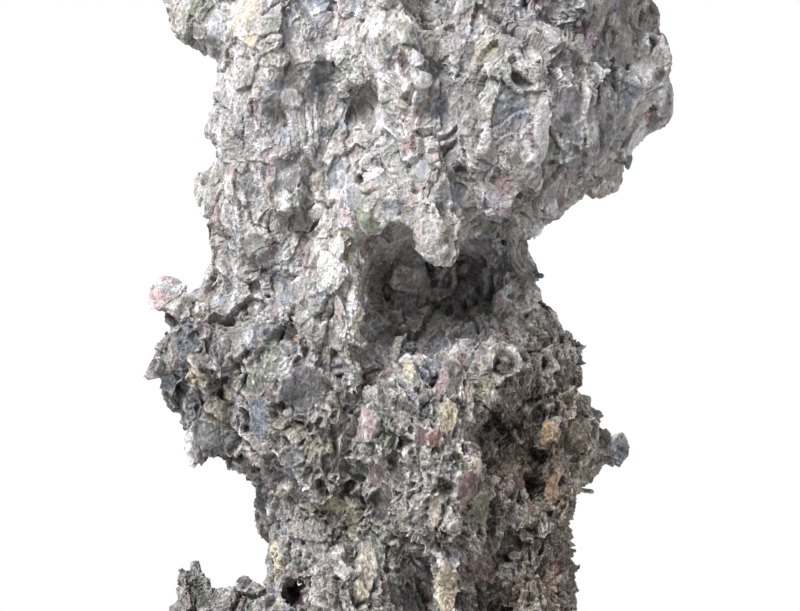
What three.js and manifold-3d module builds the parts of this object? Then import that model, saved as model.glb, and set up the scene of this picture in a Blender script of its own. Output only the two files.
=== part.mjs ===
// A viewing stone: one upright, craggy piece of grey conglomerate with a sawn flat foot.
// Millimetres, +Z up. The front, with the cave under the brow, faces -Y, and +X is to its right.
// The origin is on the sawn foot. The stone is the surface of one field, which is positive
// inside the rock and about as large as the depth below the surface.
import * as THREE from "three";
import { ImprovedNoise } from "three/addons/math/ImprovedNoise.js";
import { MarchingCubes } from "three/addons/objects/MarchingCubes.js";
import { mergeVertices } from "three/addons/utils/BufferGeometryUtils.js";
import Module from "manifold-3d";

const wasm = await Module();
wasm.setup();

// Driving dimensions
const HEIGHT = 265; // to the highest crag
const FACET = 6.1; // spacing of the lattice on which the surface is found
const LATTICE_TURN = [0.62, 0.41, 0.9]; // so that facets line up with no side of the stone
const REACH = 172; // from the middle of the stone to past its furthest crag
const SQUARENESS = 2.5; // power of the trunk's oval section: 2 is an ellipse
const BLEND = 2.5; // how softly two masses run together
const LEAST_DEPTH = 0.35; // keeps corners of facets from falling on each other
const SKIN = 16; // depth to which the roughness of the surface is worked out
const ROOT = 14; // how far the rock goes on below the foot before it is sawn off

// Blocks that the surface is broken into, longer upwards than across: each stands out or in by
// up to half its stand, with a cleft of that depth and of a share of its width to the next
const BOULDERS = { across: 36, tall: 50, stand: 6, cleft: 1.5, width: 0.25, bend: 10 };
const CRAGS = { across: 17, tall: 25, stand: 6, cleft: 2.4, width: 0.3, bend: 5 };
const SWAY = { size: 3.0, over: 23 }; // how far the surface wanders, and over what length

// The trunk's outline from the front: the height of each point, and its place across
const LEFT_EDGE = [
  [-20, -53], [20, -47], [50, -44], [61, -43], [76, -49], [90, -49], [105, -52],
  [135, -62], [144, -60], [152, -67], [163, -68], [174, -63], [183, -54], [198, -55],
  [207, -61], [218, -58], [225, -53], [245, -44], [262, -12],
];
const RIGHT_EDGE = [
  [-20, 58], [42, 49], [54, 45], [76, 57], [82, 62], [90, 67], [100, 63], [109, 42],
  [118, 49], [128, 51], [140, 48], [146, 38], [151, 35], [156, 43], [165, 61],
  [177, 74], [187, 70], [200, 75], [216, 79], [225, 82], [245, 58], [262, 20],
];
// and from the side: the front and the back of the trunk, away from its crags
const FRONT_EDGE = [
  [-20, -32], [20, -29], [50, -24], [80, -23], [110, -23], [130, -20], [145, -18],
  [155, -20], [180, -22], [210, -22], [240, -16], [262, 2],
];
const BACK_EDGE = [
  [-20, 39], [20, 37], [45, 32], [70, 29], [95, 32], [120, 28], [145, 24], [165, 26],
  [190, 31], [215, 32], [240, 25], [262, 8],
];

// Each mass of rock on the trunk: its middle, its half sizes along X, Y and Z, and its lean about Y
const MASSES = [
  { at: [32, -24, 189], half: [26, 26, 35], lean: -2 }, // brow, hanging over the cave
  { at: [36, -14, 232], half: [28, 26, 30], lean: -20 }, // right summit
  { at: [1, -27, 206], half: [11, 18, 32], lean: -12 }, // rib along the brow's left side
  { at: [-8, -4, 240], half: [20, 22, 27], lean: 0 }, // middle summit
  { at: [-38, -9, 188], half: [19, 20, 50], lean: 3 }, // left column
  { at: [-56, 0, 220], half: [13, 16, 15], lean: -12 }, // knob at the upper left
  { at: [-20, -17, 138], half: [12, 14, 24], lean: 8 }, // cheek left of the cave
  { at: [9, -19, 92], half: [25, 22, 32], lean: -8 }, // ridge below the cave
  { at: [13, -20, 116], half: [24, 14, 12], lean: -4 }, // lip of the cave
  { at: [-8, -16, 113], half: [12, 13, 14], lean: 0 }, // sill at its left end
  { at: [43, -2, 125], half: [8, 10, 7], lean: 0 }, // shoulder to the right of it
  { at: [-30, -12, 106], half: [22, 17, 36], lean: -10 }, // left flank
  { at: [-62, -3, 120], half: [15, 16, 19], lean: 3 }, // left ear
  { at: [-70, -4, 138], half: [8, 8, 9], lean: -10 }, // its tip
  { at: [-55, -3, 95], half: [9, 11, 9], lean: 15 }, // lobe under the left ear
  { at: [-42, 0, 76], half: [6, 8, 7], lean: 0 }, // bump above the window
  { at: [14, -22, 46], half: [8, 11, 27], lean: -4 }, // column at the foot
  { at: [-15, -20, 40], half: [10, 11, 30], lean: 5 }, // and the one left of it
  { at: [38, -9, 46], half: [12, 20, 34], lean: -4 }, // buttress on the right
  { at: [-57, 12, 17], half: [27, 22, 33], lean: 0 }, // foothill, set back at the lower left
  { at: [-64, 13, 46], half: [10, 10, 11], lean: 0 },
  { at: [-46, 12, 44], half: [13, 10, 9], lean: 0 },
  { at: [34, 24, 196], half: [26, 18, 34], lean: 10 }, // shoulder at the back
  { at: [-24, 22, 96], half: [22, 18, 44], lean: 12 }, // rib at the back
  { at: [28, 26, 52], half: [20, 16, 36], lean: -14 },
];

// Each hollow: as a mass, but taken away
const HOLLOWS = [
  { at: [9, -22, 141], half: [19, 25, 16], lean: -8 }, // the cave
  { at: [34, -28, 143], half: [9, 15, 10], lean: 10 }, // recess under the brow, to the right
  { at: [15, -50, 198], half: [6, 13, 26], lean: 6 }, // groove down the brow
  { at: [-17, -35, 188], half: [8, 10, 30], lean: -10 }, // valley left of the brow
  { at: [-30, -34, 132], half: [9, 9, 13], lean: -32 }, // notch left of the cave
  { at: [37, -34, 91], half: [10, 26, 22], lean: -8 }, // sunk ground right of the ridge
  { at: [2, -37, 46], half: [5, 19, 18], lean: 2 }, // cleft at the foot
  { at: [28, -34, 44], half: [6, 17, 13], lean: 0 }, // dark hollow beside it
  { at: [14, -42, 67], half: [7, 12, 5], lean: 0 }, // small mouth under the ridge
  { at: [-30, 30, 51], half: [12, 22, 13], lean: 0 }, // behind the window
  { at: [4, 36, 150], half: [24, 15, 24], lean: 20 }, // and at the back
  { at: [-34, 36, 196], half: [12, 10, 26], lean: -10 },
];

// Rock that hangs in front of the cave's roof
const HANGING = [
  { at: [9, -32, 162], half: [14, 14, 21], lean: -14 }, // tongue
  { at: [-5, -30, 164], half: [15, 14, 14], lean: 8 }, // curtain left of it
];

// The window: a passage from front to back at the lower left
const WINDOW = { at: [-31, 50], waist: 2.8, mouth: 8, reach: 40 };

const SLAB_RADIUS = 120; // of the slab that the saw takes away under the stone

// The place across of an outline at a height, straight from point to point
function edgeAt(edge, z) {
  const next = edge.findIndex(([height]) => height > z);
  if (next === 0) return edge[0][1];
  if (next < 0) return edge[edge.length - 1][1];
  const [lowZ, low] = edge[next - 1];
  const [highZ, high] = edge[next];
  return THREE.MathUtils.mapLinear(z, lowZ, highZ, low, high);
}

// Depth inside the trunk, an oval at each height that touches the four outlines
function trunkDepth(x, y, z) {
  const [left, right] = [edgeAt(LEFT_EDGE, z), edgeAt(RIGHT_EDGE, z)];
  const [front, back] = [edgeAt(FRONT_EDGE, z), edgeAt(BACK_EDGE, z)];
  const [halfX, halfY] = [(right - left) / 2, (back - front) / 2];
  const across = Math.abs(x - (left + right) / 2) / halfX;
  const along = Math.abs(y - (front + back) / 2) / halfY;
  const share = (across ** SQUARENESS + along ** SQUARENESS) ** (1 / SQUARENESS);
  const top = LEFT_EDGE[LEFT_EDGE.length - 1][0];
  return Math.min((1 - share) * Math.min(halfX, halfY), z + ROOT, top - z);
}

// Depth inside an egg-shaped mass: share of its radius left, times the radius that way
function massDepth({ at, half, lean }, x, y, z) {
  const turn = THREE.MathUtils.degToRad(lean);
  const [dx, dy, dz] = [x - at[0], y - at[1], z - at[2]];
  const across = dx * Math.cos(turn) - dz * Math.sin(turn);
  const up = dx * Math.sin(turn) + dz * Math.cos(turn);
  const share = Math.hypot(across / half[0], dy / half[1], up / half[2]);
  const steepness = Math.hypot(across / half[0] ** 2, dy / half[1] ** 2, up / half[2] ** 2);
  return steepness > 0 ? (share * (1 - share)) / steepness : Math.min(...half);
}

// The larger of two depths, rounded over where they are nearly equal
function blended(a, b) {
  const near = Math.max(BLEND - Math.abs(a - b), 0) / BLEND;
  return Math.max(a, b) + (near * near * BLEND) / 4;
}

const noise = new ImprovedNoise();

function wander(x, y, z, { size, over }) {
  return size * noise.noise(x / over, y / over, z / over);
}

// A number from 0 to 1 that belongs to one block, found by its place in the pile
function blockNumber(i, j, k, which) {
  let mixed = Math.imul(i, 374761393) ^ Math.imul(j, 668265263) ^ Math.imul(k, 1274126177);
  mixed = Math.imul(mixed ^ Math.imul(which + 1, 974634777) ^ (mixed >>> 15), 2246822519);
  mixed = Math.imul(mixed ^ (mixed >>> 13), 3266489917);
  return ((mixed ^ (mixed >>> 16)) >>> 0) / 2 ** 32;
}

// How far the nearest block stands out, less the cleft between it and the next
function blockHeight(x, y, z, { across, tall, stand, cleft, width, bend }) {
  const bending = { size: bend, over: across };
  const u = (x + wander(x, y, z + 50, bending)) / across;
  const v = (y + wander(x, y, z - 50, bending)) / across;
  const w = (z + wander(x + 50, y, z, bending)) / tall;
  let [nearest, next, share] = [Infinity, Infinity, 0];
  for (let i = Math.floor(u) - 1; i <= Math.floor(u) + 1; i++)
    for (let j = Math.floor(v) - 1; j <= Math.floor(v) + 1; j++)
      for (let k = Math.floor(w) - 1; k <= Math.floor(w) + 1; k++) {
        const away = Math.hypot(
          i + blockNumber(i, j, k, 0) - u,
          j + blockNumber(i, j, k, 1) - v,
          k + blockNumber(i, j, k, 2) - w,
        );
        if (away < nearest) [next, nearest, share] = [nearest, away, blockNumber(i, j, k, 3)];
        else if (away < next) next = away;
      }
  return stand * (share - 0.5) - cleft * Math.max(1 - (next - nearest) / width, 0);
}

// Depth below the stone's surface
function stoneDepth(x, y, z) {
  let depth = trunkDepth(x, y, z);
  for (const mass of MASSES) depth = blended(depth, massDepth(mass, x, y, z));
  for (const hollow of HOLLOWS) depth = -blended(-depth, massDepth(hollow, x, y, z));
  for (const mass of HANGING) depth = blended(depth, massDepth(mass, x, y, z));
  if (Math.abs(depth) > SKIN) return depth;
  depth += blockHeight(x, y, z, BOULDERS) + blockHeight(x, y, z, CRAGS);
  return depth + wander(x, y, z, SWAY);
}

function solidOf(geometry) {
  const bare = geometry.clone().deleteAttribute("normal").deleteAttribute("uv");
  const merged = mergeVertices(bare, 1e-3);
  return new wasm.Manifold(
    new wasm.Mesh({
      numProp: 3,
      vertProperties: new Float32Array(merged.attributes.position.array),
      triVerts: new Uint32Array(merged.index.array),
    }),
  );
}

function geometryOf(solid) {
  const mesh = solid.getMesh();
  const geometry = new THREE.BufferGeometry();
  geometry.setAttribute("position", new THREE.BufferAttribute(mesh.vertProperties, 3));
  geometry.setIndex(new THREE.BufferAttribute(mesh.triVerts, 1));
  return geometry;
}

// Marks the lattice points that hang together with one, on its side of the surface
function joinedTo(start, field, steps) {
  const joined = new Uint8Array(field.length);
  const waiting = [start];
  joined[start] = 1;
  while (waiting.length > 0) {
    const spot = waiting.pop();
    for (const hop of [1, steps, steps * steps].flatMap((far) => [far, -far])) {
      const next = spot + hop;
      if (next < 0 || next >= field.length || joined[next]) continue;
      if (field[next] < 0 !== field[start] < 0) continue;
      joined[next] = 1;
      waiting.push(next);
    }
  }
  return joined;
}

// Fills voids that no way leads into, and drops crumbs that nothing holds
function mendLattice(field, steps) {
  const air = joinedTo(0, field, steps);
  const rock = joinedTo(field.indexOf(field.reduce((a, b) => Math.max(a, b))), field, steps);
  for (let i = 0; i < field.length; i++)
    if (!air[i] && !rock[i]) field[i] = field[i] < 0 ? LEAST_DEPTH : -LEAST_DEPTH;
}

// The surface where the depth is nought, as one closed skin of facets
function skinned(depthAt) {
  const steps = Math.ceil((2 * REACH) / FACET);
  const turn = new THREE.Quaternion().setFromEuler(new THREE.Euler(...LATTICE_TURN));
  const middle = new THREE.Vector3(0, 0, HEIGHT / 2);
  const cubes = new MarchingCubes(steps, new THREE.MeshBasicMaterial(), false, false, 40000);
  const side = (i) => (i - steps / 2) * FACET;
  const spot = new THREE.Vector3();
  for (let k = 0; k < steps; k++)
    for (let j = 0; j < steps; j++)
      for (let i = 0; i < steps; i++) {
        spot.set(side(i), side(j), side(k)).applyQuaternion(turn).add(middle);
        const depth = depthAt(spot.x, spot.y, spot.z);
        const kept = Math.max(Math.abs(depth), LEAST_DEPTH);
        cubes.field[i + steps * (j + steps * k)] = depth < 0 ? -kept : kept;
      }
  mendLattice(cubes.field, steps);
  cubes.isolation = 0;
  cubes.update();
  const corners = cubes.positionArray.slice(0, cubes.count * 3);
  const geometry = new THREE.BufferGeometry();
  geometry.setAttribute("position", new THREE.BufferAttribute(corners, 3));
  geometry.scale(...Array(3).fill((steps * FACET) / 2));
  geometry.applyQuaternion(turn);
  geometry.translate(...middle.toArray());
  return geometry;
}

// The passage of the window: narrow in the middle and wider at both mouths
function passage({ at: [x, z], waist, mouth, reach }) {
  const profile = [new THREE.Vector2(0, -reach)];
  const steps = 6;
  for (let i = 0; i <= steps; i++) {
    const along = (2 * i) / steps - 1;
    profile.push(new THREE.Vector2(waist + (mouth - waist) * along * along, along * reach));
  }
  profile.push(new THREE.Vector2(0, reach));
  const geometry = new THREE.LatheGeometry(profile, 9);
  geometry.translate(x, 0, z);
  return solidOf(geometry);
}

function sawnSlab() {
  const thickness = 3 * ROOT;
  const geometry = new THREE.CylinderGeometry(SLAB_RADIUS, SLAB_RADIUS, thickness, 24);
  geometry.rotateX(Math.PI / 2);
  geometry.translate(0, 0, -thickness / 2);
  return solidOf(geometry);
}

const stoneSolid = solidOf(skinned(stoneDepth)).subtract(passage(WINDOW)).subtract(sawnSlab());

const stoneFinish = new THREE.MeshStandardMaterial({
  color: "#8f8a86",
  roughness: 0.92,
  metalness: 0,
  flatShading: true,
});

const stone = new THREE.Mesh(geometryOf(stoneSolid), stoneFinish);
stone.name = "stone";

const viewingStone = new THREE.Group();
viewingStone.add(stone);

export default viewingStone;
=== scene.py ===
"""A viewing stone of grey conglomerate: the broken rock, with its plates, its gravel and the pale
cement that holds it, and the loose grains that stand out of it.

Metres, +Z up, with the front to -Y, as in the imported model. Sizes of grain and relief are in
millimetres, because that is how a rock is read, and MM turns them to metres.
"""

import itertools
import math
from collections import namedtuple

import bmesh
import bpy
import numpy as np
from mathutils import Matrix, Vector
from mathutils.bvhtree import BVHTree


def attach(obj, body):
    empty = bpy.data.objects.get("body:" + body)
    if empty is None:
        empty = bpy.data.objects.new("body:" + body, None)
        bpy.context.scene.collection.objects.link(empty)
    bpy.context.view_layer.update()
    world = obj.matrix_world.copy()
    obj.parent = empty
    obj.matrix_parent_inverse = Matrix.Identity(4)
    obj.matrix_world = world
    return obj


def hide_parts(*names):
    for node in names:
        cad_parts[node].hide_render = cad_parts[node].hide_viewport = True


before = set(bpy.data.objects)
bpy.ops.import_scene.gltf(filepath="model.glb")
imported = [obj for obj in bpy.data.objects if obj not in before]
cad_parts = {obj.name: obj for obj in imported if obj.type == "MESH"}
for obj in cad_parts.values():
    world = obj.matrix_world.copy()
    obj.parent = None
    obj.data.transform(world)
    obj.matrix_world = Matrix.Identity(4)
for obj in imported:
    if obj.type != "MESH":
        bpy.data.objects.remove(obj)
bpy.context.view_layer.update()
MM = 0.001

# The picture: its size in pixels, and the width that it shows of the plane through the stone's middle
PICTURE = (800, 611)
PICTURE_WIDTH = 0.240
EYE_HEIGHT = 0.13365
LENS = 85.0
SENSOR = 36.0
EYE_DISTANCE = PICTURE_WIDTH * LENS / SENSOR

# Rock surface
COARSE_STEP = 1.0 * MM  # spacing of the rock's mesh, halved where the picture shows it
SHOWN_FROM = 0.038  # lowest and highest place that the picture shows
SHOWN_TO = 0.229
SHOWN_TURN = 0.35  # how far back a face's normal may point along Y for the picture to show it
SMOOTHING = 5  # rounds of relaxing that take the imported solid's facets off
HOLLOW_ROUNDS = 8  # rounds of relaxing that a corner is compared with, to tell hollows from edges
FOOT_FADE = 4.0  # mm over which the relief fades out towards the sawn foot
COURSES = (0.071, 0.112, 0.158, 0.196)  # heights that part the rock into pieces
LID_INSET = 4.0 * MM  # how far inside the rock the lids between those pieces end
MERGED = 0.001 * MM  # corners nearer than this count as one

# Plates that the rock breaks into, in mm: size across and stretch upwards, how far each stands out
# or in, the slope of its face, how much it swells towards its lower edge, and its cracks' depth
Plates = namedtuple("Plates", "size stretch stand slope swell crack")
PLATES = (
    Plates(size=19.0, stretch=1.7, stand=2.2, slope=0.14, swell=0.10, crack=0.0),
    Plates(size=8.5, stretch=1.9, stand=1.6, slope=0.24, swell=0.16, crack=1.0),
)

# Gravel held in the cement, in mm: size and stretch, the share of places that hold a grain, how far
# grains stand out or in, the height and width of the cement rim round each, the share that has
# fallen out, and how deep a hole that leaves
Gravel = namedtuple("Gravel", "size stretch share stand rim width lost hole")
GRAVEL = (
    Gravel(size=8.0, stretch=1.6, share=0.3, stand=1.4, rim=0.30, width=0.08, lost=0.0, hole=0.0),
    Gravel(size=4.8, stretch=1.5, share=0.5, stand=1.6, rim=0.55, width=0.12, lost=0.05, hole=2.2),
    Gravel(size=2.3, stretch=1.4, share=0.5, stand=0.9, rim=0.40, width=0.16, lost=0.06, hole=1.2),
)

GRAIN_SLOPE = 0.24  # how steeply a grain's face leans
GRAIN_SAG = 0.08  # and how much it stands out towards its lower edge
GRAIN_DARKEST = 0.65  # share of its stone's colour that the darkest grain has
GRAIN_SHADES = 0.65  # and how much more of it the palest has
OPEN_LOSS = 0.25  # share of the grains that has fallen out of fully open ground, besides the rest
DUST = 0.07  # mm by which each corner is off by itself
MEAN_LOSS = 0.5  # mm by which the broken surface lies inside the smooth one, on average

# Which random number of a cell settles what
HELD_DRAW, STAND_DRAW, LEAN_DRAW, LOST_DRAW, STONE_DRAW, SHADE_DRAW = 51, 52, 53, 57, 58, 59
PLATE_LEAN_DRAW, PLATE_STAND_DRAW = 3, 7

# Loose grains that stand out: how many, the rings of the ball that each is cut from, and the widths
# of the smallest and the largest in mm
Loose = namedtuple("Loose", "name count rings smallest largest")
LOOSE = (
    Loose("pebbles", 500, 2, 2.4, 5.0),
    Loose("gravel", 5000, 1, 0.9, 2.4),
    Loose("crumbs", 7000, 1, 0.5, 1.1),
)
CLEAR_OF_FOOT = 3.0 * MM  # no loose grain is nearer to the sawn foot than this
GRAIN_PLANES = 7  # planes that break a loose grain's ball
GRAIN_DEPTH = 0.7  # of its width

# Eggs in mm where the ground differs: the middle, the half sizes, how dark it is, and how much of
# its gravel has fallen out. In the cave, under and on the brow, in the sunk ground, the clefts, the
# small mouth and the notch the darkness is painted shade; in the other eggs it makes the ground darker
Ground = namedtuple("Ground", "at half dark open")
GROUNDS = (
    Ground((9, 2, 139), (25, 24, 21), dark=0.85, open=0.2),  # the cave
    Ground((34, -16, 147), (14, 16, 12), dark=0.8, open=0.4),  # under the brow, to the right
    Ground((38, -30, 195), (36, 24, 46), dark=0.42, open=0.0),  # the brow
    Ground((36, -20, 93), (14, 24, 24), dark=1.0, open=1.0),  # sunk ground right of the ridge
    Ground((40, -20, 60), (30, 30, 38), dark=0.8, open=0.8),  # lower right
    Ground((2, -30, 46), (7, 20, 20), dark=1.0, open=0.4),  # cleft at the foot
    Ground((27, -30, 44), (9, 20, 15), dark=1.0, open=0.6),
    Ground((14, -36, 67), (10, 12, 6), dark=1.0, open=0.6),  # small mouth
    Ground((-30, -30, 132), (11, 12, 14), dark=0.45, open=0.3),  # notch left of the cave
    Ground((-45, -15, 112), (34, 28, 26), dark=0.45, open=0.35),  # left flank and ear
    Ground((2, -40, 96), (18, 22, 28), dark=0.35, open=0.4),  # ridge
    Ground((45, -10, 118), (24, 30, 20), dark=0.55, open=0.8),
    Ground((-5, -30, 68), (36, 30, 32), dark=0.4, open=0.6),
    Ground((-55, 5, 45), (26, 26, 18), dark=0.45, open=0.4),  # foothill
    Ground((0, 40, 60), (60, 30, 60), dark=0.1, open=0.6),  # the back, low down
)


def linear(colour):
    """An sRGB hex colour as linear red, green, blue and 1: above 4% each channel is lifted by
    0.055, divided by 1.055 and raised to the power 2.4."""
    parts = [int(colour[i:i + 2], 16) / 255 for i in (1, 3, 5)]
    return tuple(p / 12.92 if p <= 0.04045 else ((p + 0.055) / 1.055) ** 2.4 for p in parts) + (1.0,)


# What the grains are made of, and how common each is in the rock. The last six are rare, and only
# the named grains below have them.
STONES = {
    "slate": ("#68696e", 0.16),
    "dark": ("#534e51", 0.09),
    "ash": ("#8f8e8d", 0.18),
    "warm": ("#9c9388", 0.12),
    "chalk": ("#cecdce", 0.07),
    "blue": ("#828a99", 0.12),
    "green": ("#83897a", 0.10),
    "plum": ("#7b636a", 0.08),
    "mauve": ("#a38e97", 0.05),
    "pink": ("#b39a9c", 0.03),
    "cream": ("#ccc2ad", 0.02),
    "quartz": ("#e6e6e7", 0.0),
    "rust": ("#a5724c", 0.0),
    "lichen": ("#8c8a6c", 0.0),
    "brick": ("#966c66", 0.0),
    "rose": ("#b4a0a0", 0.0),
    "tan": ("#beb4a2", 0.0),
}
CEMENT = linear("#aaa6a6")

# Grains that the picture singles out: its pixel column and row, width and height in pixels, lean in
# degrees clockwise, how far it stands out in mm, and its stone
Grain = namedtuple("Grain", "column row width height lean stand stone")
NAMED_GRAINS = [Grain(*row) for row in (
    (248, 20, 30, 60, 0, 0.8, "tan"), (213, 31, 17, 34, 10, 0.3, "blue"),
    (194, 31, 14, 20, 0, 0.3, "ash"), (332, 104, 10, 18, 20, 0.8, "pink"),
    (291, 98, 20, 20, 0, 0.9, "quartz"), (417, 58, 17, 15, 0, 1.0, "quartz"),
    (422, 80, 20, 16, 0, 1.0, "quartz"), (393, 43, 14, 26, 0, -0.8, "slate"),
    (418, 166, 12, 20, 0, 0.2, "blue"), (337, 177, 20, 41, 5, -0.2, "blue"),
    (354, 197, 20, 24, 0, 0.4, "blue"), (374, 177, 22, 12, -30, 1.2, "quartz"),
    (337, 195, 17, 10, 0, 0.5, "cream"), (286, 180, 27, 44, 10, 0.1, "slate"),
    (318, 184, 10, 27, 5, 0.9, "tan"), (271, 173, 8, 34, 5, 0.7, "mauve"),
    (230, 172, 8, 17, 15, 0.8, "pink"), (418, 231, 8, 37, -5, 0.8, "rose"),
    (570, 105, 28, 40, 0, -0.3, "slate"), (570, 156, 24, 27, 0, -0.2, "slate"),
    (537, 184, 8, 20, 0, 0.5, "brick"), (561, 197, 14, 24, 10, 0.2, "plum"),
    (542, 129, 15, 60, 5, 1.2, "chalk"), (255, 245, 30, 22, 20, 0.4, "ash"),
    (340, 246, 8, 20, 0, 0.9, "quartz"), (408, 279, 40, 30, 15, 1.2, "rose"),
    (449, 417, 20, 36, 12, 1.4, "cream"),
    (435, 510, 14, 33, 8, 1.2, "tan"), (437, 560, 10, 14, 0, 0.8, "quartz"),
    (422, 436, 15, 24, 5, 0.2, "plum"), (434, 439, 12, 20, 5, 0.6, "brick"),
    (361, 426, 34, 38, 0, 1.2, "mauve"), (466, 487, 24, 32, 10, 0.9, "plum"),
    (481, 507, 20, 30, 0, 0.6, "green"), (452, 378, 22, 40, -8, -0.4, "dark"),
    (442, 381, 10, 30, 5, 0.8, "mauve"), (395, 351, 7, 20, 10, 0.9, "cream"),
    (410, 373, 12, 22, 5, 0.9, "tan"), (551, 432, 14, 20, 0, 0.9, "tan"),
    (551, 487, 17, 30, 0, 0.8, "rose"), (493, 448, 9, 14, 0, 0.6, "brick"),
    (340, 308, 14, 22, 0, 0.8, "rose"), (272, 308, 22, 14, 10, 0.5, "plum"),
    (306, 325, 24, 27, 0, 0.9, "ash"), (204, 329, 14, 20, 0, 0.5, "mauve"),
    (215, 373, 15, 18, 0, 0.5, "dark"), (254, 381, 22, 30, 0, 0.2, "green"),
    (227, 392, 9, 18, -15, 0.8, "cream"), (303, 388, 44, 50, 0, 0.8, "slate"),
    (262, 419, 24, 42, 0, 0.2, "blue"), (216, 436, 36, 26, 15, 0.9, "slate"),
    (289, 473, 14, 22, 0, 0.3, "blue"), (333, 463, 30, 22, 0, -0.3, "dark"),
    (372, 475, 17, 30, 0, 0.5, "plum"), (381, 504, 20, 34, 0, -0.8, "dark"),
    (430, 592, 10, 24, 0, 0.4, "plum"), (384, 589, 9, 14, 0, 0.4, "brick"),
    (520, 480, 16, 22, 0, 0.4, "plum"), (297, 338, 5, 5, 0, 0.8, "rust"),
    (500, 300, 10, 18, 0, 0.5, "mauve"), (520, 330, 16, 22, 0, -0.4, "slate"),
    (446, 588, 22, 52, -4, 1.6, "tan"), (316, 538, 27, 43, -4, 1.0, "ash"),
    (366, 572, 18, 64, 2, 1.8, "tan"), (341, 568, 16, 20, 0, 0.8, "chalk"),
    (335, 506, 46, 14, 0, 0.4, "lichen"), (352, 520, 10, 26, 0, 0.5, "lichen"),
    (384, 112, 16, 40, 4, 0.6, "chalk"), (377, 22, 14, 36, 8, 0.7, "chalk"),
    (497, 477, 8, 8, 0, 0.9, "quartz"), (470, 250, 46, 18, 0, 0.5, "ash"),
)]


# Stains: pixel column and row, width and height in pixels, how strong, and what it is
DIRT = {
    "rust_brown": "#52392d",
    "earth": "#61554a",
    "ochre": "#8a6a50",
    "moss": "#8d8867",
    "blue_grey": "#7f8390",
    "green_grey": "#8f9488",
    # a plain darker grey, on the brow and the left column
    "plain_grey": "#817f7d",
}
Stain = namedtuple("Stain", "column row width height strength dirt")
STAINS = [Stain(*row) for row in (
    (455, 268, 60, 36, 0.75, "rust_brown"), (395, 262, 44, 26, 0.5, "earth"),
    (412, 322, 30, 22, 0.5, "rust_brown"), (328, 508, 52, 30, 0.7, "moss"),
    (352, 530, 24, 60, 0.5, "moss"), (545, 265, 40, 20, 0.4, "earth"),
    (590, 190, 60, 14, 0.5, "ochre"), (615, 120, 40, 60, 0.25, "blue_grey"),
    (520, 425, 60, 90, 0.5, "earth"), (450, 40, 90, 70, 0.25, "green_grey"),
    (470, 100, 50, 70, 0.35, "plain_grey"), (300, 200, 60, 60, 0.2, "plain_grey"),
)]


def stirred(cells, which):
    """A number from 0 to 1 for each whole-number place: its three counts are multiplied by large
    odd numbers, added up, and the sum's bits are folded over themselves."""
    keys = cells.astype(np.int64).astype(np.uint64)
    low = np.uint64(0xFFFFFFFF)
    mixed = keys[..., 0] * np.uint64(374761393) + keys[..., 1] * np.uint64(668265263)
    mixed = (mixed + keys[..., 2] * np.uint64(1274126177) + np.uint64(which * 974634777)) & low
    mixed = ((mixed ^ (mixed >> np.uint64(15))) * np.uint64(2246822519)) & low
    mixed = ((mixed ^ (mixed >> np.uint64(13))) * np.uint64(3266489917)) & low
    return (mixed ^ (mixed >> np.uint64(16))) / float(0xFFFFFFFF)


def wander(points, size):
    """Smooth noise from about -1 to 1: a random slope at each corner of the cube around a point,
    blended across the cube by 6t^5 - 15t^4 + 10t^3. A swell is about as wide as the size."""
    scaled = points / size
    base = np.floor(scaled)
    local = scaled - base
    ease = local**3 * (local * (local * 6 - 15) + 10)
    total = np.zeros(len(points))
    for corner in itertools.product((0, 1), repeat=3):
        slopes = np.stack([stirred(base + corner, i) for i in range(3)], -1) * 2 - 1
        weight = np.where(corner, ease, 1 - ease).prod(-1)
        total += weight * ((local - corner) * slopes).sum(-1)
    return total * 1.5


def smooth_step(low, high, values):
    """0 below low, 1 above high, and 3t^2 - 2t^3 between them."""
    t = np.clip((values - low) / (high - low), 0, 1)
    return t * t * (3 - 2 * t)


def nearest_cells(points, which=0):
    """Splits space into the regions nearest to one jittered centre in each unit cube. Returns the
    distance to the nearest centre, how much further the next one is, the cube of the nearest, and
    the way from it."""
    base = np.floor(points)
    nearest = np.full(len(points), np.inf)
    second = np.full(len(points), np.inf)
    place, way = base.copy(), np.zeros_like(points)
    for step in itertools.product((-1, 0, 1), repeat=3):
        cell = base + step
        apart = points - cell - np.stack([stirred(cell, which + i) for i in range(3)], -1)
        far = np.sqrt((apart**2).sum(-1))
        closer = far < nearest
        second = np.where(closer, nearest, np.minimum(second, far))
        nearest = np.where(closer, far, nearest)
        place[closer], way[closer] = cell[closer], apart[closer]
    return nearest, second - nearest, place, way


def ground_share(points, quality):
    """How strongly the named quality of the grounds holds at points in mm: in each egg it falls
    from full at 60% of the radius to nothing at 115%, and the strongest egg counts."""
    share = np.zeros(len(points))
    ragged = wander(points, 9.0) * 0.12 + wander(points, 4.0) * 0.06
    for ground in GROUNDS:
        reach = np.sqrt((((points - ground.at) / ground.half) ** 2).sum(-1)) + ragged
        share = np.maximum(share, getattr(ground, quality) * (1 - smooth_step(0.6, 1.15, reach)))
    return share


def palette(pick):
    """The stone that each number from 0 to 1 falls on, when they are laid out by how common they
    are."""
    kinds = np.array([linear(colour) for colour, _ in STONES.values()])
    ends = np.cumsum([share for _, share in STONES.values()])
    return kinds[np.minimum(np.searchsorted(ends / ends[-1], pick), len(kinds) - 1)]


def plates_height(points, plates, which):
    """Each plate is a tilted plane that swells towards its lower edge. Where a slow noise lets it,
    the border between two plates is a crack."""
    stretch = np.array((1, 1, plates.stretch)) * plates.size
    _, gap, place, way = nearest_cells(points / stretch, which)
    lean = np.stack([stirred(place, which + PLATE_LEAN_DRAW + i) for i in range(3)], -1) * 2 - 1
    height = plates.stand * (stirred(place, which + PLATE_STAND_DRAW) - 0.5)
    height += plates.size * (plates.slope * (lean * way).sum(-1) - plates.swell * way[:, 2])
    cracked = smooth_step(0.0, 0.3, wander(points, 12.0))
    return height - plates.crack * cracked * (1 - smooth_step(0.0, 0.09, gap))


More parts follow.
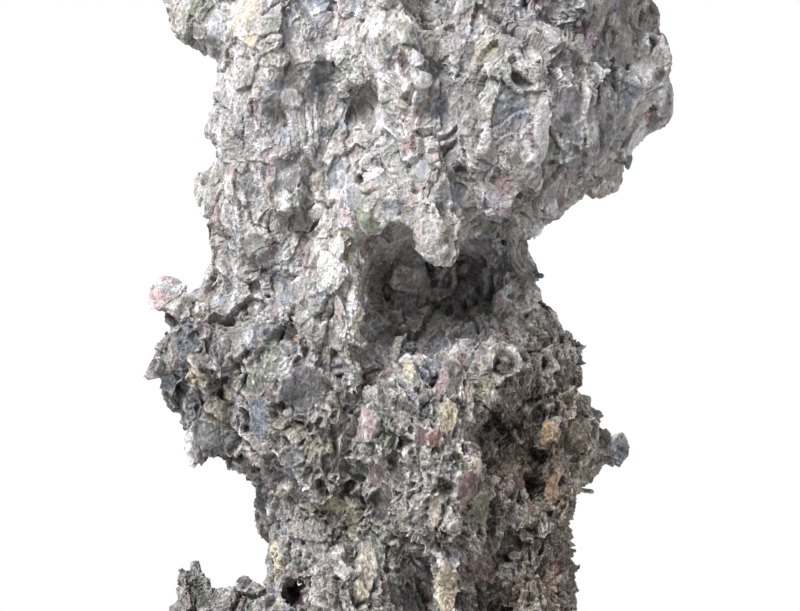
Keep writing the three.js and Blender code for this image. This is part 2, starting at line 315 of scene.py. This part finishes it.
def evenness(points):
    """How far a skin of lime evens the surface out: from nothing below the cave to fully above it,
    with a ragged border, and nowhere in the dark eggs, which hold painted shade in the cave and
    clefts and darker ground elsewhere."""
    above = smooth_step(112, 150, points[:, 2] + 14 * wander(points, 24.0))
    return above * (1 - ground_share(points, "dark"))


def gravel_layer(bent, points, gravel, which, even, open_share):
    """One size of gravel. Every cell is a grain that stands out or in and leans, with a rim of
    cement round it, or a hole where it has fallen out, or else plain cement. Gives the height that
    it adds, and how much of each point is grain, rim and hole, and the grain's colour."""
    stretch = np.array((1, 1, gravel.stretch)) * gravel.size
    _, gap, place, way = nearest_cells(bent / stretch, which)
    is_grain = stirred(place, HELD_DRAW) < gravel.share
    stand = gravel.stand * (stirred(place, STAND_DRAW) - 0.5)
    lean = np.stack([stirred(place, LEAN_DRAW + i) for i in range(3)], -1) * 2 - 1
    stand = stand + gravel.size * (GRAIN_SLOPE * (lean * way).sum(-1) - GRAIN_SAG * way[:, 2])
    inside = smooth_step(gravel.width * 0.5, gravel.width * 1.3, gap)
    lost = stirred(place, LOST_DRAW) < (gravel.lost * (1 - 0.8 * even) + OPEN_LOSS * open_share
                                        if gravel.hole else 0)
    rough = 0.55 + 0.9 * wander(points + 40, 4.0) + 0.3 * open_share
    edge = (1 - smooth_step(0.2 * gravel.width, gravel.width, gap)) * np.clip(rough, 0, 1.3)
    edge *= np.where(is_grain | lost, 1, 0.4)
    held = is_grain & ~lost
    sunk = smooth_step(0.04, 0.32, gap) * lost
    height = np.where(held, stand * inside, 0) * (1.35 - 1.0 * even)
    height += gravel.rim * edge * (1 - 0.7 * even) - gravel.hole * sunk
    shade = GRAIN_DARKEST + GRAIN_SHADES * stirred(place, SHADE_DRAW)
    colour = palette(stirred(place, STONE_DRAW)) * (shade[:, None] * (1, 1, 1, 0) + (0, 0, 0, 1))
    return height, held * inside, edge, sunk * min(1.0, gravel.hole / 2), colour


def broken_surface(points):
    """The broken surface at points in mm: its height over the smooth one, how much of it is cement
    rim, the colour of the grain there, and how deep in a hole it lies.

    It is the sum of the plates, a gentle upright ripple where lime evens it out, the gravel from
    the smallest size up, and grit in swells of 1.7 and 0.95 mm. The whole is bent by slow noise
    first, so that no border is straight."""
    bent = points + np.stack([wander(points + shift, 11.0) for shift in (0, 70, 140)], -1) * 2.0
    bent += np.stack([wander(points + shift, 3.4) for shift in (30, 90, 150)], -1) * 0.5
    even = evenness(points)
    height = sum(plates_height(bent, plates, 100 + 10 * i) for i, plates in enumerate(PLATES))
    height *= 1 - 0.45 * even
    height += 1.1 * wander(points / (1, 1, 4.5), 6.5) * even
    open_share = ground_share(points, "open")
    rim, hole = np.zeros(len(points)), np.zeros(len(points))
    colour = np.tile(CEMENT, (len(points), 1))
    for number, gravel in reversed(list(enumerate(GRAVEL))):
        layer = gravel_layer(bent, points, gravel, 40 + 20 * number, even, open_share)
        added, grain, edge, sunk, stone = layer
        height += added
        rim = np.maximum(rim * (1 - 0.8 * grain), edge)
        hole = np.maximum(hole, sunk)
        colour = colour * (1 - grain[:, None]) + stone * grain[:, None]
    height += (0.42 + 0.3 * open_share - 0.12 * even) * wander(points, 1.7)
    height += (0.32 + 0.2 * open_share - 0.12 * even) * wander(points + 20, 0.95)
    height += np.random.default_rng(3).normal(size=len(points)) * DUST
    return height - height.mean() - MEAN_LOSS, rim, colour, hole


def relaxed(points, edges, rounds):
    """Moves every point half-way to the mean of its neighbours, the given number of times."""
    both = np.concatenate([edges, edges[:, ::-1]])
    count = np.maximum(np.bincount(both[:, 0], minlength=len(points)), 1)[:, None]
    for _ in range(rounds):
        total = [np.bincount(both[:, 0], points[both[:, 1], axis], len(points)) for axis in range(3)]
        points = (points + np.stack(total, -1) / count) / 2
    return points


def corner_normals(points, faces):
    """Unit normals: the cross products of each triangle's sides, summed at its corners."""
    sides = points[faces]
    cross = np.cross(sides[:, 1] - sides[:, 0], sides[:, 2] - sides[:, 0])
    total = [np.bincount(faces.ravel(), np.repeat(cross[:, axis], 3), len(points)) for axis in range(3)]
    total = np.stack(total, -1)
    return total / np.maximum(np.linalg.norm(total, axis=1, keepdims=True), 1e-12)


def arrays_of(mesh):
    """The corners, edges and triangles of a mesh of triangles, as arrays."""
    points = np.empty(len(mesh.vertices) * 3)
    mesh.vertices.foreach_get("co", points)
    edges = np.empty(len(mesh.edges) * 2, np.int64)
    mesh.edges.foreach_get("vertices", edges)
    faces = np.empty(len(mesh.polygons) * 3, np.int64)
    mesh.polygons.foreach_get("vertices", faces)
    return points.reshape(-1, 3), edges.reshape(-1, 2), faces.reshape(-1, 3)


def marked_mesh(points, faces, marks):
    """A mesh of flat triangles, as broken rock is, with numbers or colours at its corners."""
    mesh = bpy.data.meshes.new("stone")
    mesh.from_pydata(points, [], faces)
    for mark, values in marks.items():
        kind = "FLOAT_COLOR" if values.ndim == 2 else "FLOAT"
        held = mesh.attributes.new(mark, kind, "POINT")
        held.data.foreach_set("color" if values.ndim == 2 else "value", values.ravel())
    return mesh


def add_piece(name, mesh, material):
    """A piece that rides on the stone's body and stands for its node."""
    mesh.materials.append(material)
    thing = bpy.data.objects.new(name, mesh)
    bpy.context.scene.collection.objects.link(thing)
    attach(thing, "root")
    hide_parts("stone")


def fine_mesh():
    """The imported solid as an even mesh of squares, rounded, with the squares that the picture shows
    split in four, and then cut into triangles."""
    work = bmesh.new()
    work.from_mesh(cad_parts["stone"].data)
    bmesh.ops.remove_doubles(work, verts=work.verts, dist=MERGED)
    mesh = bpy.data.meshes.new("even")
    work.to_mesh(mesh)
    even = bpy.data.objects.new("even", mesh)
    bpy.context.scene.collection.objects.link(even)
    voxels = even.modifiers.new("voxels", "REMESH")
    voxels.mode = "VOXEL"
    voxels.voxel_size = COARSE_STEP
    work.clear()
    work.from_object(even, bpy.context.evaluated_depsgraph_get())
    bpy.data.objects.remove(even)
    work.normal_update()
    shown = [v.normal.y < SHOWN_TURN and SHOWN_FROM < v.co.z < SHOWN_TO for v in work.verts]
    split = [e for e in work.edges if shown[e.verts[0].index] or shown[e.verts[1].index]]
    bmesh.ops.subdivide_edges(work, edges=split, cuts=1, use_grid_fill=True)
    bmesh.ops.triangulate(work, faces=work.faces)
    fine = bpy.data.meshes.new("fine")
    work.to_mesh(fine)
    work.free()
    return arrays_of(fine)


def seen_at(column, row, tree):
    """Where the line of sight through a pixel of the picture meets the rock."""
    scale = PICTURE_WIDTH / PICTURE[0]
    eye = Vector((0, -EYE_DISTANCE, EYE_HEIGHT))
    aim = Vector(((column - PICTURE[0] / 2) * scale, 0, EYE_HEIGHT + (PICTURE[1] / 2 - row) * scale))
    return tree.ray_cast(eye, (aim - eye).normalized())[0]


def in_picture(points):
    """The pixel column and row of each point in the picture."""
    scale = PICTURE_WIDTH / PICTURE[0] * (1 + points[:, 1] / EYE_DISTANCE)
    return (points[:, 0] / scale + PICTURE[0] / 2,
            (EYE_HEIGHT - points[:, 2]) / scale + PICTURE[1] / 2)


def stained(points, faces, colour):
    """The colours with the stains laid on: each fades out over its oval, with a ragged border."""
    tree = BVHTree.FromPolygons(points.tolist(), faces.tolist())
    columns, rows = in_picture(points)
    ragged = 0.5 * wander(points / MM, 4.0) + 0.4 * wander(points / MM, 1.6)
    for stain in STAINS:
        spot = seen_at(stain.column, stain.row, tree)
        if spot is None:
            continue
        reach = np.hypot((columns - stain.column) / stain.width, (rows - stain.row) / stain.height)
        near = np.abs(points[:, 1] - spot.y) < 20 * MM
        share = stain.strength * (1 - smooth_step(0.3, 0.62, reach + 0.4 * ragged)) * near
        colour = colour * (1 - share[:, None]) + np.array(linear(DIRT[stain.dirt])) * share[:, None]
    return colour


def set_named_grains(points, faces, height, rim, colour, hole):
    """Lays the grains that the picture singles out over the gravel. Each is a polygon of seven
    random sides in the plane of the picture. Inside it the surface takes the mean height there,
    plus the grain's stand, and its colour, and a rim of cement runs round it. Also gives how
    much of each point is a named grain."""
    random = np.random.default_rng(5)
    tree = BVHTree.FromPolygons(points.tolist(), faces.tolist())
    columns, rows = in_picture(points)
    named = np.zeros(len(points))
    for grain in NAMED_GRAINS:
        spot = seen_at(grain.column, grain.row, tree)
        sides = np.sort(random.uniform(0, 2 * math.pi, 3))
        sides = np.concatenate([sides, sides + math.pi, sides[:1] + math.pi / 2])
        reach = random.uniform(0.82, 1.0, len(sides))
        if spot is None:
            continue
        turn = math.radians(grain.lean)
        right, down = columns - grain.column, rows - grain.row
        across = (right * math.cos(turn) + down * math.sin(turn)) / (grain.width / 2)
        along = (down * math.cos(turn) - right * math.sin(turn)) / (grain.height / 2)
        far = np.sqrt(across**2 + along**2)
        for side, limit in zip(sides, reach):
            far = np.maximum(far, (across * math.cos(side) + along * math.sin(side)) / limit)
        depth = max(grain.width, grain.height) * 0.3 * MM
        local = (far < 1.5) & (np.abs(points[:, 1] - spot.y) < depth)
        if not local.any():
            continue
        border = min(grain.width, grain.height) * 0.15  # mm from its middle to its nearest edge
        inside = np.where(local, 1 - smooth_step(0.93, 0.93 + 0.5 / border, far), 0)
        edge = np.where(local, 1 - smooth_step(0, 0.55, np.abs(far - 1 - 0.3 / border) * border), 0)
        level = np.average(height, weights=inside + 1e-9)
        flat = level + grain.stand + 0.25 * (height - level)
        height = height * (1 - inside) + flat * inside + 0.35 * edge
        rim = np.maximum(rim * (1 - inside), 0.8 * edge)
        hole = hole * (1 - inside)
        named = np.maximum(named, inside)
        stone = np.array(linear(STONES[grain.stone][0]))
        colour = colour * (1 - inside[:, None]) + stone * inside[:, None]
    return height, rim, colour, hole, named


def scored(points, faces):
    """The surface cut along the heights that part its courses. Gives its corners, edges and
    triangles, and the course that each triangle is in."""
    work = bmesh.new()
    mesh = bpy.data.meshes.new("smooth")
    mesh.from_pydata(points, [], faces)
    work.from_mesh(mesh)
    for height in COURSES:
        whole = work.verts[:] + work.edges[:] + work.faces[:]
        bmesh.ops.bisect_plane(work, geom=whole, dist=MERGED, plane_co=(0, 0, height),
                               plane_no=(0, 0, 1))
    bmesh.ops.triangulate(work, faces=work.faces)
    work.to_mesh(mesh)
    work.free()
    points, edges, faces = arrays_of(mesh)
    return points, edges, faces, np.searchsorted(COURSES, points[faces][:, :, 2].mean(1))


def open_rims(faces, count):
    """The sides of triangles that no other triangle shares, each from its head to its tail: those
    whose opposite, tail to head, isn't among them."""
    heads, tails = faces.ravel(), np.roll(faces, -1, axis=1).ravel()
    codes = np.sort(heads * count + tails)
    back = tails * count + heads
    alone = codes[np.minimum(np.searchsorted(codes, back), len(codes) - 1)] != back
    return heads[alone], tails[alone]


def lid_across(points, faces):
    """The triangles that close the open top of a part of the surface, facing up."""
    rims = np.stack(open_rims(faces, len(points)), 1)
    ring, rims = np.unique(rims, return_inverse=True)
    work = bmesh.new()
    corners = [work.verts.new(point) for point in points[ring]]
    sides = [work.edges.new((corners[i], corners[j])) for i, j in rims.reshape(-1, 2)]
    bmesh.ops.triangle_fill(work, edges=sides, use_beauty=True, normal=(0, 0, 1))
    work.verts.index_update()
    work.normal_update()
    filled = [[v.index for v in face.verts][::1 if face.normal.z > 0 else -1] for face in work.faces]
    work.free()
    return ring[np.array(filled)]


def rock_surface():
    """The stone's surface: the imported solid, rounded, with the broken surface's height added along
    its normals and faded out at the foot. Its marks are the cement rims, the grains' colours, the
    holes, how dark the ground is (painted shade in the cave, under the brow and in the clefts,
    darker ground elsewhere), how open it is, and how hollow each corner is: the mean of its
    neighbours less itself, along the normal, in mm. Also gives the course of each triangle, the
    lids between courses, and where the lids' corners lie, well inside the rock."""
    points, edges, faces = fine_mesh()
    points, edges, faces, course = scored(relaxed(points, edges, SMOOTHING), faces)
    lids = [lid_across(points, faces[course <= number]) for number in range(len(COURSES))]
    normals = corner_normals(points, faces)
    height, rim, colour, hole = broken_surface(points / MM)
    colour = stained(points, faces, colour)
    height, rim, colour, hole, named = set_named_grains(points, faces, height, rim, colour, hole)
    fade = smooth_step(0, FOOT_FADE, points[:, 2] / MM)
    # How dark the ground is: painted shade in the cave, under and on the brow and in the clefts, darker
    # ground elsewhere; named grains keep more of their own colour
    dark = ground_share(points / MM, "dark") * (1 - 0.45 * named)
    wiry = ground_share(points / MM, "open") * (1 - 0.8 * named)
    inner = points + normals * (np.minimum(height, 0) * MM - LID_INSET)[:, None]
    points = points + normals * (height * fade * MM)[:, None]
    points[:, 2] = np.maximum(points[:, 2], 0)
    normals = corner_normals(points, faces)
    hollow = ((relaxed(points, edges, HOLLOW_ROUNDS) - points) * normals).sum(-1) / MM
    hollow = relaxed(hollow[:, None].repeat(3, 1), edges, 1)[:, 0]
    marks = {"rim": rim, "tone": colour, "hole": hole, "dark": dark, "hollow": hollow, "wiry": wiry}
    return points, faces, normals, marks, course, lids, inner


def closed_course(points, faces, marks, lids, inner):
    """One course of the rock as a closed body. Its open rims turn inwards in a narrow band, from
    each corner to its place inside the rock, and lids close them there."""
    heads, tails = open_rims(faces, len(points))
    shell = [faces, np.stack([tails, heads, heads + len(points)], 1),
             np.stack([tails, heads + len(points), tails + len(points)], 1)]
    shell += [lid + len(points) for lid in lids]
    corners = np.concatenate([points, inner])
    marks = {mark: np.concatenate([values, values]) for mark, values in marks.items()}
    used, shell = np.unique(np.concatenate(shell), return_inverse=True)
    return corners[used], shell.reshape(-1, 3), {mark: values[used] for mark, values in marks.items()}


def scattered_on(points, faces, normals, count, random, clear_of_foot):
    """Random places on the surface, spread evenly by area, and the normals there."""
    sides = points[faces]
    area = np.linalg.norm(np.cross(sides[:, 1] - sides[:, 0], sides[:, 2] - sides[:, 0]), axis=1)
    area = np.where(sides[:, :, 2].min(1) > clear_of_foot, area, 0)
    chosen = random.choice(len(faces), count, p=area / area.sum())
    share = random.dirichlet((1, 1, 1), count)[:, :, None]
    return (sides[chosen] * share).sum(1), (normals[faces[chosen]] * share).sum(1)


def ball(rings):
    """Corners and triangles of a unit ball of triangles."""
    work = bmesh.new()
    bmesh.ops.create_icosphere(work, subdivisions=rings, radius=1)
    corners = np.array([v.co for v in work.verts])
    faces = np.array([[v.index for v in face.verts] for face in work.faces])
    work.free()
    return corners, faces


def broken_grains(spots, normals, widths, lengths, leans, colours, rings, sink, random):
    """Angular grains set in the surface. Each is a ball with its caps beyond seven random planes
    pushed back on to them, then scaled to its width and length and to 70% of its width in depth,
    with its length leaning from the upright, and sunk in by a share of its depth."""
    corners, faces = ball(rings)
    shape = np.repeat(corners[None], len(spots), 0)
    for _ in range(GRAIN_PLANES):
        plane = random.normal(size=(len(spots), 1, 3))
        plane /= np.linalg.norm(plane, axis=-1, keepdims=True)
        past = (shape * plane).sum(-1, keepdims=True) - random.uniform(0.45, 0.8, (len(spots), 1, 1))
        shape = shape - np.maximum(past, 0) * plane
    out = normals / np.linalg.norm(normals, axis=1, keepdims=True)
    side = np.cross(out, (0.0, 0.02, 1.0))
    side /= np.linalg.norm(side, axis=1, keepdims=True)
    up = np.cross(side, out) * np.sign(np.cross(side, out)[:, 2:] + 1e-9)
    turn = np.radians(leans)[:, None]
    along = up * np.cos(turn) + side * np.sin(turn)
    across = side * np.cos(turn) - up * np.sin(turn)
    deep = GRAIN_DEPTH / 2 * widths
    placed = spots[:, None] - (out * (deep * sink)[:, None])[:, None]
    for axis, half, part in ((across, widths / 2, 0), (along, lengths / 2, 1), (out, deep, 2)):
        placed = placed + shape[:, :, part:part + 1] * (axis * half[:, None])[:, None]
    count = len(corners)
    # A left-handed frame would turn a grain inside out
    handed = np.linalg.det(np.stack([across, along, out], 1)) > 0
    turned = np.where(handed[:, None, None], faces[None], faces[None, :, ::-1])
    stacked = (turned + np.arange(len(spots))[:, None, None] * count).reshape(-1, 3)
    buried = 1 - smooth_step(-0.1, 0.5, shape[:, :, 2].ravel())
    # The buried underside is marked hollow, so that the material paints shade round each grain's foot
    marks = {"tone": np.repeat(colours, count, axis=0), "hollow": buried * 0.5,
             "rim": buried * 0.4, "hole": buried * 0}
    placed = placed.reshape(-1, 3)
    placed[:, 2] = np.maximum(placed[:, 2], 0)
    # Painted shade in the cave and clefts, and darker ground elsewhere, as on the rock
    marks["dark"] = ground_share(placed / MM, "dark")
    marks["wiry"] = ground_share(placed / MM, "open")
    return placed, stacked, marks


def add(tree, kind, inputs=None, **settings):
    """Adds a node, gives it its settings, and fills its inputs with numbers or with other nodes'
    sockets."""
    new = tree.nodes.new(kind)
    for name, value in settings.items():
        setattr(new, name, value)
    for name, value in (inputs or {}).items():
        if isinstance(value, bpy.types.NodeSocket):
            tree.links.new(value, new.inputs[name])
        else:
            new.inputs[name].default_value = value
    return new


def new_material(name, roughness):
    """A material named for what it is, with its tree and its shader."""
    material = bpy.data.materials.new(name)
    material.use_nodes = True
    shader = material.node_tree.nodes["Principled BSDF"]
    shader.inputs["Roughness"].default_value = roughness
    shader.inputs["IOR"].default_value = 1.52  # silicate rock
    return material, material.node_tree, shader


def ramp(tree, value, stops):
    """A colour ramp through stops of place and hex colour."""
    new = add(tree, "ShaderNodeValToRGB", {"Fac": value})
    while len(new.color_ramp.elements) < len(stops):
        new.color_ramp.elements.new(0.5)
    for element, (place, colour) in zip(new.color_ramp.elements, stops):
        element.position = place
        element.color = linear(colour)
    return new.outputs["Color"]


def laid_over(tree, share, under, over, mode="MIX"):
    """One colour over another, by a share."""
    mix = add(tree, "ShaderNodeMix", {0: share, 6: under, 7: over}, data_type="RGBA",
              blend_type=mode, clamp_factor=True)
    return mix.outputs[2]


def spread(tree, value, low, high, to_low=0.0, to_high=1.0):
    """A number taken from one range to another, and kept inside it."""
    mapped = add(tree, "ShaderNodeMapRange", {
        "Value": value, "From Min": low, "From Max": high, "To Min": to_low, "To Max": to_high})
    return mapped.outputs["Result"]


def worked(tree, operation, *values):
    """The result of one sum on numbers or sockets."""
    return add(tree, "ShaderNodeMath", dict(enumerate(values)), operation=operation).outputs[0]


def conglomerate():
    """Conglomerate: sand and angular grains in a natural cement, broken and weathered outdoors. It
    gives a dry, gritty surface of grey, with grains of muted colours, pale rims of cement round
    them, a white bloom of lime on what stands out, painted shade in its hollows, pits and holes,
    and a painted highlight on its edges."""
    material, tree, shader = new_material("weathered conglomerate", 0.9)
    place = add(tree, "ShaderNodeTexCoord").outputs["Object"]
    in_mm = add(tree, "ShaderNodeMapping", {"Vector": place, "Scale": (1000, 1000, 700)}).outputs[0]
    rim, hole, dark, hollow, wiry = (
        add(tree, "ShaderNodeAttribute", attribute_name=name).outputs["Fac"]
        for name in ("rim", "hole", "dark", "hollow", "wiry"))
    tone = add(tree, "ShaderNodeAttribute", attribute_name="tone").outputs["Color"]

    # Sand: grains of 0.6 mm, drawn with more contrast than sand has, to show at this size
    sand = add(tree, "ShaderNodeTexVoronoi", {"Vector": in_mm, "Scale": 1 / 0.65}).outputs["Color"]
    sand = add(tree, "ShaderNodeSeparateColor", {"Color": sand}).outputs[0]
    grit = add(tree, "ShaderNodeTexNoise", {"Vector": in_mm, "Scale": 1 / 1.3, "Detail": 6.0,
                                            "Roughness": 0.75}).outputs["Fac"]
    worn = add(tree, "ShaderNodeTexNoise", {"Vector": in_mm, "Scale": 1 / 2.4, "Detail": 5.0,
                                            "Roughness": 0.7}).outputs["Fac"]
    drift = add(tree, "ShaderNodeTexNoise", {"Vector": in_mm, "Scale": 1 / 13, "Detail": 3.0})

    # Slow drifts of the cement's own colour, to blue-grey, green-grey and rose-grey
    tint = ramp(tree, drift.outputs["Fac"], ((0.30, "#dfe2e8"), (0.42, "#f2f1f0"), (0.52, "#e9ebe6"),
                                             (0.60, "#f4f2f0"), (0.72, "#eee6e6")))
    across, _, up = add(tree, "ShaderNodeSeparateXYZ", {"Vector": place}).outputs
    patchy = add(tree, "ShaderNodeTexNoise", {"Vector": in_mm, "Scale": 1 / 4.5, "Detail": 4.0,
                                              "Roughness": 0.55}).outputs["Fac"]
    dusty = worked(tree, "MULTIPLY", spread(tree, patchy, 0.42, 0.62, 0.1, 0.8),
                   spread(tree, up, 0.09, 0.17, 0.4, 1.0))
    colour = laid_over(tree, dusty, tone, CEMENT)
    colour = laid_over(tree, 1.0, colour, tint, "MULTIPLY")
    low_right = worked(tree, "MULTIPLY", spread(tree, across, 0.005, 0.040),
                       spread(tree, up, 0.135, 0.105))
    low_right = worked(tree, "MULTIPLY", low_right, spread(tree, across, 0.060, 0.046, 0.2, 1.0))
    colour = laid_over(tree, low_right, colour, linear("#dec7a8"), "MULTIPLY")

    # Cement rims, worn thin in places
    rims = worked(tree, "MULTIPLY", spread(tree, rim, 0.25, 0.7), spread(tree, worn, 0.40, 0.60))
    colour = laid_over(tree, worked(tree, "MULTIPLY", rims, 0.7), colour, linear("#c6c3bf"))

    # Lime: a white bloom on what stands out, in streaks that run down the upper half
    streaks = add(tree, "ShaderNodeMapping", {"Vector": place, "Scale": (190, 190, 36)}).outputs[0]
    streaks = add(tree, "ShaderNodeTexNoise", {"Vector": streaks, "Scale": 1.0, "Detail": 3.0,
                                               "Roughness": 0.55}).outputs["Fac"]
    high_up = spread(tree, up, 0.085, 0.165, -0.10, 0.03)
    limy = spread(tree, worked(tree, "ADD", streaks, high_up), 0.46, 0.58)
    bloom = spread(tree, worked(tree, "MULTIPLY_ADD", worn, 0.35, worked(
        tree, "MULTIPLY", patchy, 0.65)), 0.46, 0.57)
    standing = spread(tree, hollow, 0.20, -0.15, 0.3, 1.0)
    bloom = worked(tree, "MULTIPLY", worked(tree, "MULTIPLY", bloom, limy), standing)
    colour = laid_over(tree, worked(tree, "MULTIPLY", bloom, 0.7), colour, linear("#e9e9ee"))
    # Painted shade in the holes left by lost grains, which are also sunk in the surface
    colour = laid_over(tree, spread(tree, hole, 0.2, 0.9, 0, 0.92), colour, linear("#443f3b"))

    # Wires: the cement left standing between lost grains, as thin crooked ridges
    kinked = add(tree, "ShaderNodeTexNoise", {"Vector": in_mm, "Scale": 1 / 1.5, "Detail": 2.0})
    kinked = add(tree, "ShaderNodeVectorMath", {0: kinked.outputs["Color"], 1: (1.6, 1.6, 1.6),
                                                2: in_mm}, operation="MULTIPLY_ADD").outputs[0]
    mesh = add(tree, "ShaderNodeTexVoronoi", {"Vector": kinked, "Scale": 1 / 1.9},
               feature="DISTANCE_TO_EDGE").outputs["Distance"]
    wire = worked(tree, "MULTIPLY", spread(tree, mesh, 0.13, 0.04),
                  spread(tree, wiry, 0.3, 0.8, 0.08, 0.9))
    colour = laid_over(tree, worked(tree, "MULTIPLY", wire, 0.6), colour, linear("#bdb5ad"))

    # Light and dark: the sand's and grit's own mottling, painted shade in the grit's dark specks, the
    # pits and the hollows, and a painted highlight on the edges
    pits = add(tree, "ShaderNodeTexNoise", {"Vector": in_mm, "Scale": 1 / 0.75, "Detail": 2.0,
                                            "Roughness": 0.6}).outputs["Fac"]
    # Sand and grit mottle the cement's own colour; the grit's darkest specks are also painted shade
    light = worked(tree, "MULTIPLY", spread(tree, sand, 0, 1, 0.72, 1.20),
                   spread(tree, grit, 0.36, 0.62, 0.50, 1.20))
    # Painted shade in tiny pits, which the bump also sinks
    light = worked(tree, "MULTIPLY", light, spread(tree, pits, 0.30, 0.46, 0.45, 1.0))
    light = worked(tree, "MULTIPLY", light, spread(tree, wire, 0, 1, 1.0, 1.3))
    # Painted shade in the hollows and a painted highlight on the edges, by how hollow each corner is
    light = worked(tree, "MULTIPLY", light, spread(tree, hollow, -0.35, 0.50, 1.22, 0.55))

    # Lime fills the pits higher up, most of all on the brow, and takes half of that contrast away
    brow = worked(tree, "MULTIPLY", spread(tree, across, -0.010, 0.008), spread(tree, up, 0.150, 0.165))
    filled = worked(tree, "MULTIPLY_ADD", brow, 0.15, spread(tree, up, 0.105, 0.150, 0.0, 0.40))
    light = laid_over(tree, filled, light, (0.68, 0.68, 0.68, 1))
    # Painted shade: the dark eggs darken the cave, under and on the brow, the sunk ground, the clefts
    # and the notch; the other eggs make the ground darker
    light = worked(tree, "MULTIPLY", light, spread(tree, dark, 0, 1, 1, 0.45))
    colour = add(tree, "ShaderNodeVectorMath", {0: colour, "Scale": light}, operation="SCALE")
    colour = colour.outputs[0]
    tree.links.new(colour, shader.inputs["Base Color"])

    raised = worked(tree, "ADD", worked(tree, "MULTIPLY", sand, 0.3), grit)
    raised = worked(tree, "ADD", raised, worked(tree, "MULTIPLY", worn, 0.6))
    raised = worked(tree, "ADD", raised, worked(tree, "MULTIPLY", wire, 0.4))
    raised = worked(tree, "ADD", raised, spread(tree, pits, 0.30, 0.46, -0.4, 0))
    bump = add(tree, "ShaderNodeBump", {"Height": raised,
                                        "Strength": spread(tree, filled, 0.0, 0.6, 1.0, 0.75),
                                        "Distance": 1.0 * MM})
    tree.links.new(bump.outputs["Normal"], shader.inputs["Normal"])
    return material


def add_stone():
    """The rock in closed courses, one on the other, and loose angular grains that stand out."""
    rock = conglomerate()
    points, faces, normals, marks, course, lids, inner = rock_surface()
    for number in range(len(COURSES) + 1):
        ends = [lid for lid in lids[number:number + 1]]
        ends += [lid[:, ::-1] for lid in lids[number - 1:number]] if number else []
        body = closed_course(points, faces[course == number], marks, ends, inner)
        add_piece(f"rock_course_{number + 1}", marked_mesh(*body), rock)

    random = np.random.default_rng(11)
    for loose in LOOSE:
        spots, outward = scattered_on(points, faces, normals, loose.count, random, CLEAR_OF_FOOT)
        share = random.power(0.7, loose.count)  # below 1, so that small ones are the commoner
        widths = loose.smallest * (loose.largest / loose.smallest) ** share * MM
        lengths = widths * random.uniform(1.0, 1.7, loose.count)
        colours = palette(random.uniform(size=loose.count))
        colours[:, :3] *= random.uniform(0.8, 1.25, (loose.count, 1))
        leans = random.normal(0, 25, loose.count)
        sink = random.uniform(0.45, 0.9, loose.count)
        grains = broken_grains(spots, outward, widths, lengths, leans, colours, loose.rings, sink,
                               random)
        add_piece(loose.name, marked_mesh(*grains), rock)


def studio():
    """A camera level with the stone's middle, a pale floor, soft light from the upper left, and a
    bright backdrop."""
    scene = bpy.context.scene
    camera = bpy.data.cameras.new("camera")
    camera.lens = LENS
    camera.sensor_width = SENSOR
    eye = bpy.data.objects.new("camera", camera)
    eye.location = (0, -EYE_DISTANCE, EYE_HEIGHT)
    eye.rotation_euler = (math.radians(90), 0, 0)
    scene.collection.objects.link(eye)
    scene.camera = eye

    for name, place, size, power in (("key", (-0.50, -0.55, 0.80), 0.45, 29.0),
                                     ("fill", (0.80, -0.60, 0.35), 0.7, 3.0)):
        lamp = bpy.data.lights.new(name, "AREA")
        lamp.size = size
        lamp.energy = power
        held = bpy.data.objects.new(name, lamp)
        held.location = place
        held.rotation_euler = (Vector((0, 0, 0.13)) - Vector(place)).to_track_quat("-Z", "Y").to_euler()
        scene.collection.objects.link(held)

    world = bpy.data.worlds.new("bright room")
    scene.world = world
    world.use_nodes = True
    tree = world.node_tree
    backdrop = tree.nodes["Background"]
    backdrop.inputs["Color"].default_value = (1, 1, 1, 1)
    camera_ray = add(tree, "ShaderNodeLightPath").outputs["Is Camera Ray"]
    tree.links.new(spread(tree, camera_ray, 0, 1, 0.72, 1.0), backdrop.inputs["Strength"])
    scene.view_settings.view_transform = "Standard"

    bpy.ops.mesh.primitive_circle_add(vertices=96, radius=0.24, fill_type="NGON")
    floor = bpy.context.object
    floor.name = "floor"
    paper, tree, shader = new_material("pale paper", 0.9)
    shader.inputs["Base Color"].default_value = linear("#e9e8e6")
    floor.data.materials.append(paper)


studio()
add_stone()
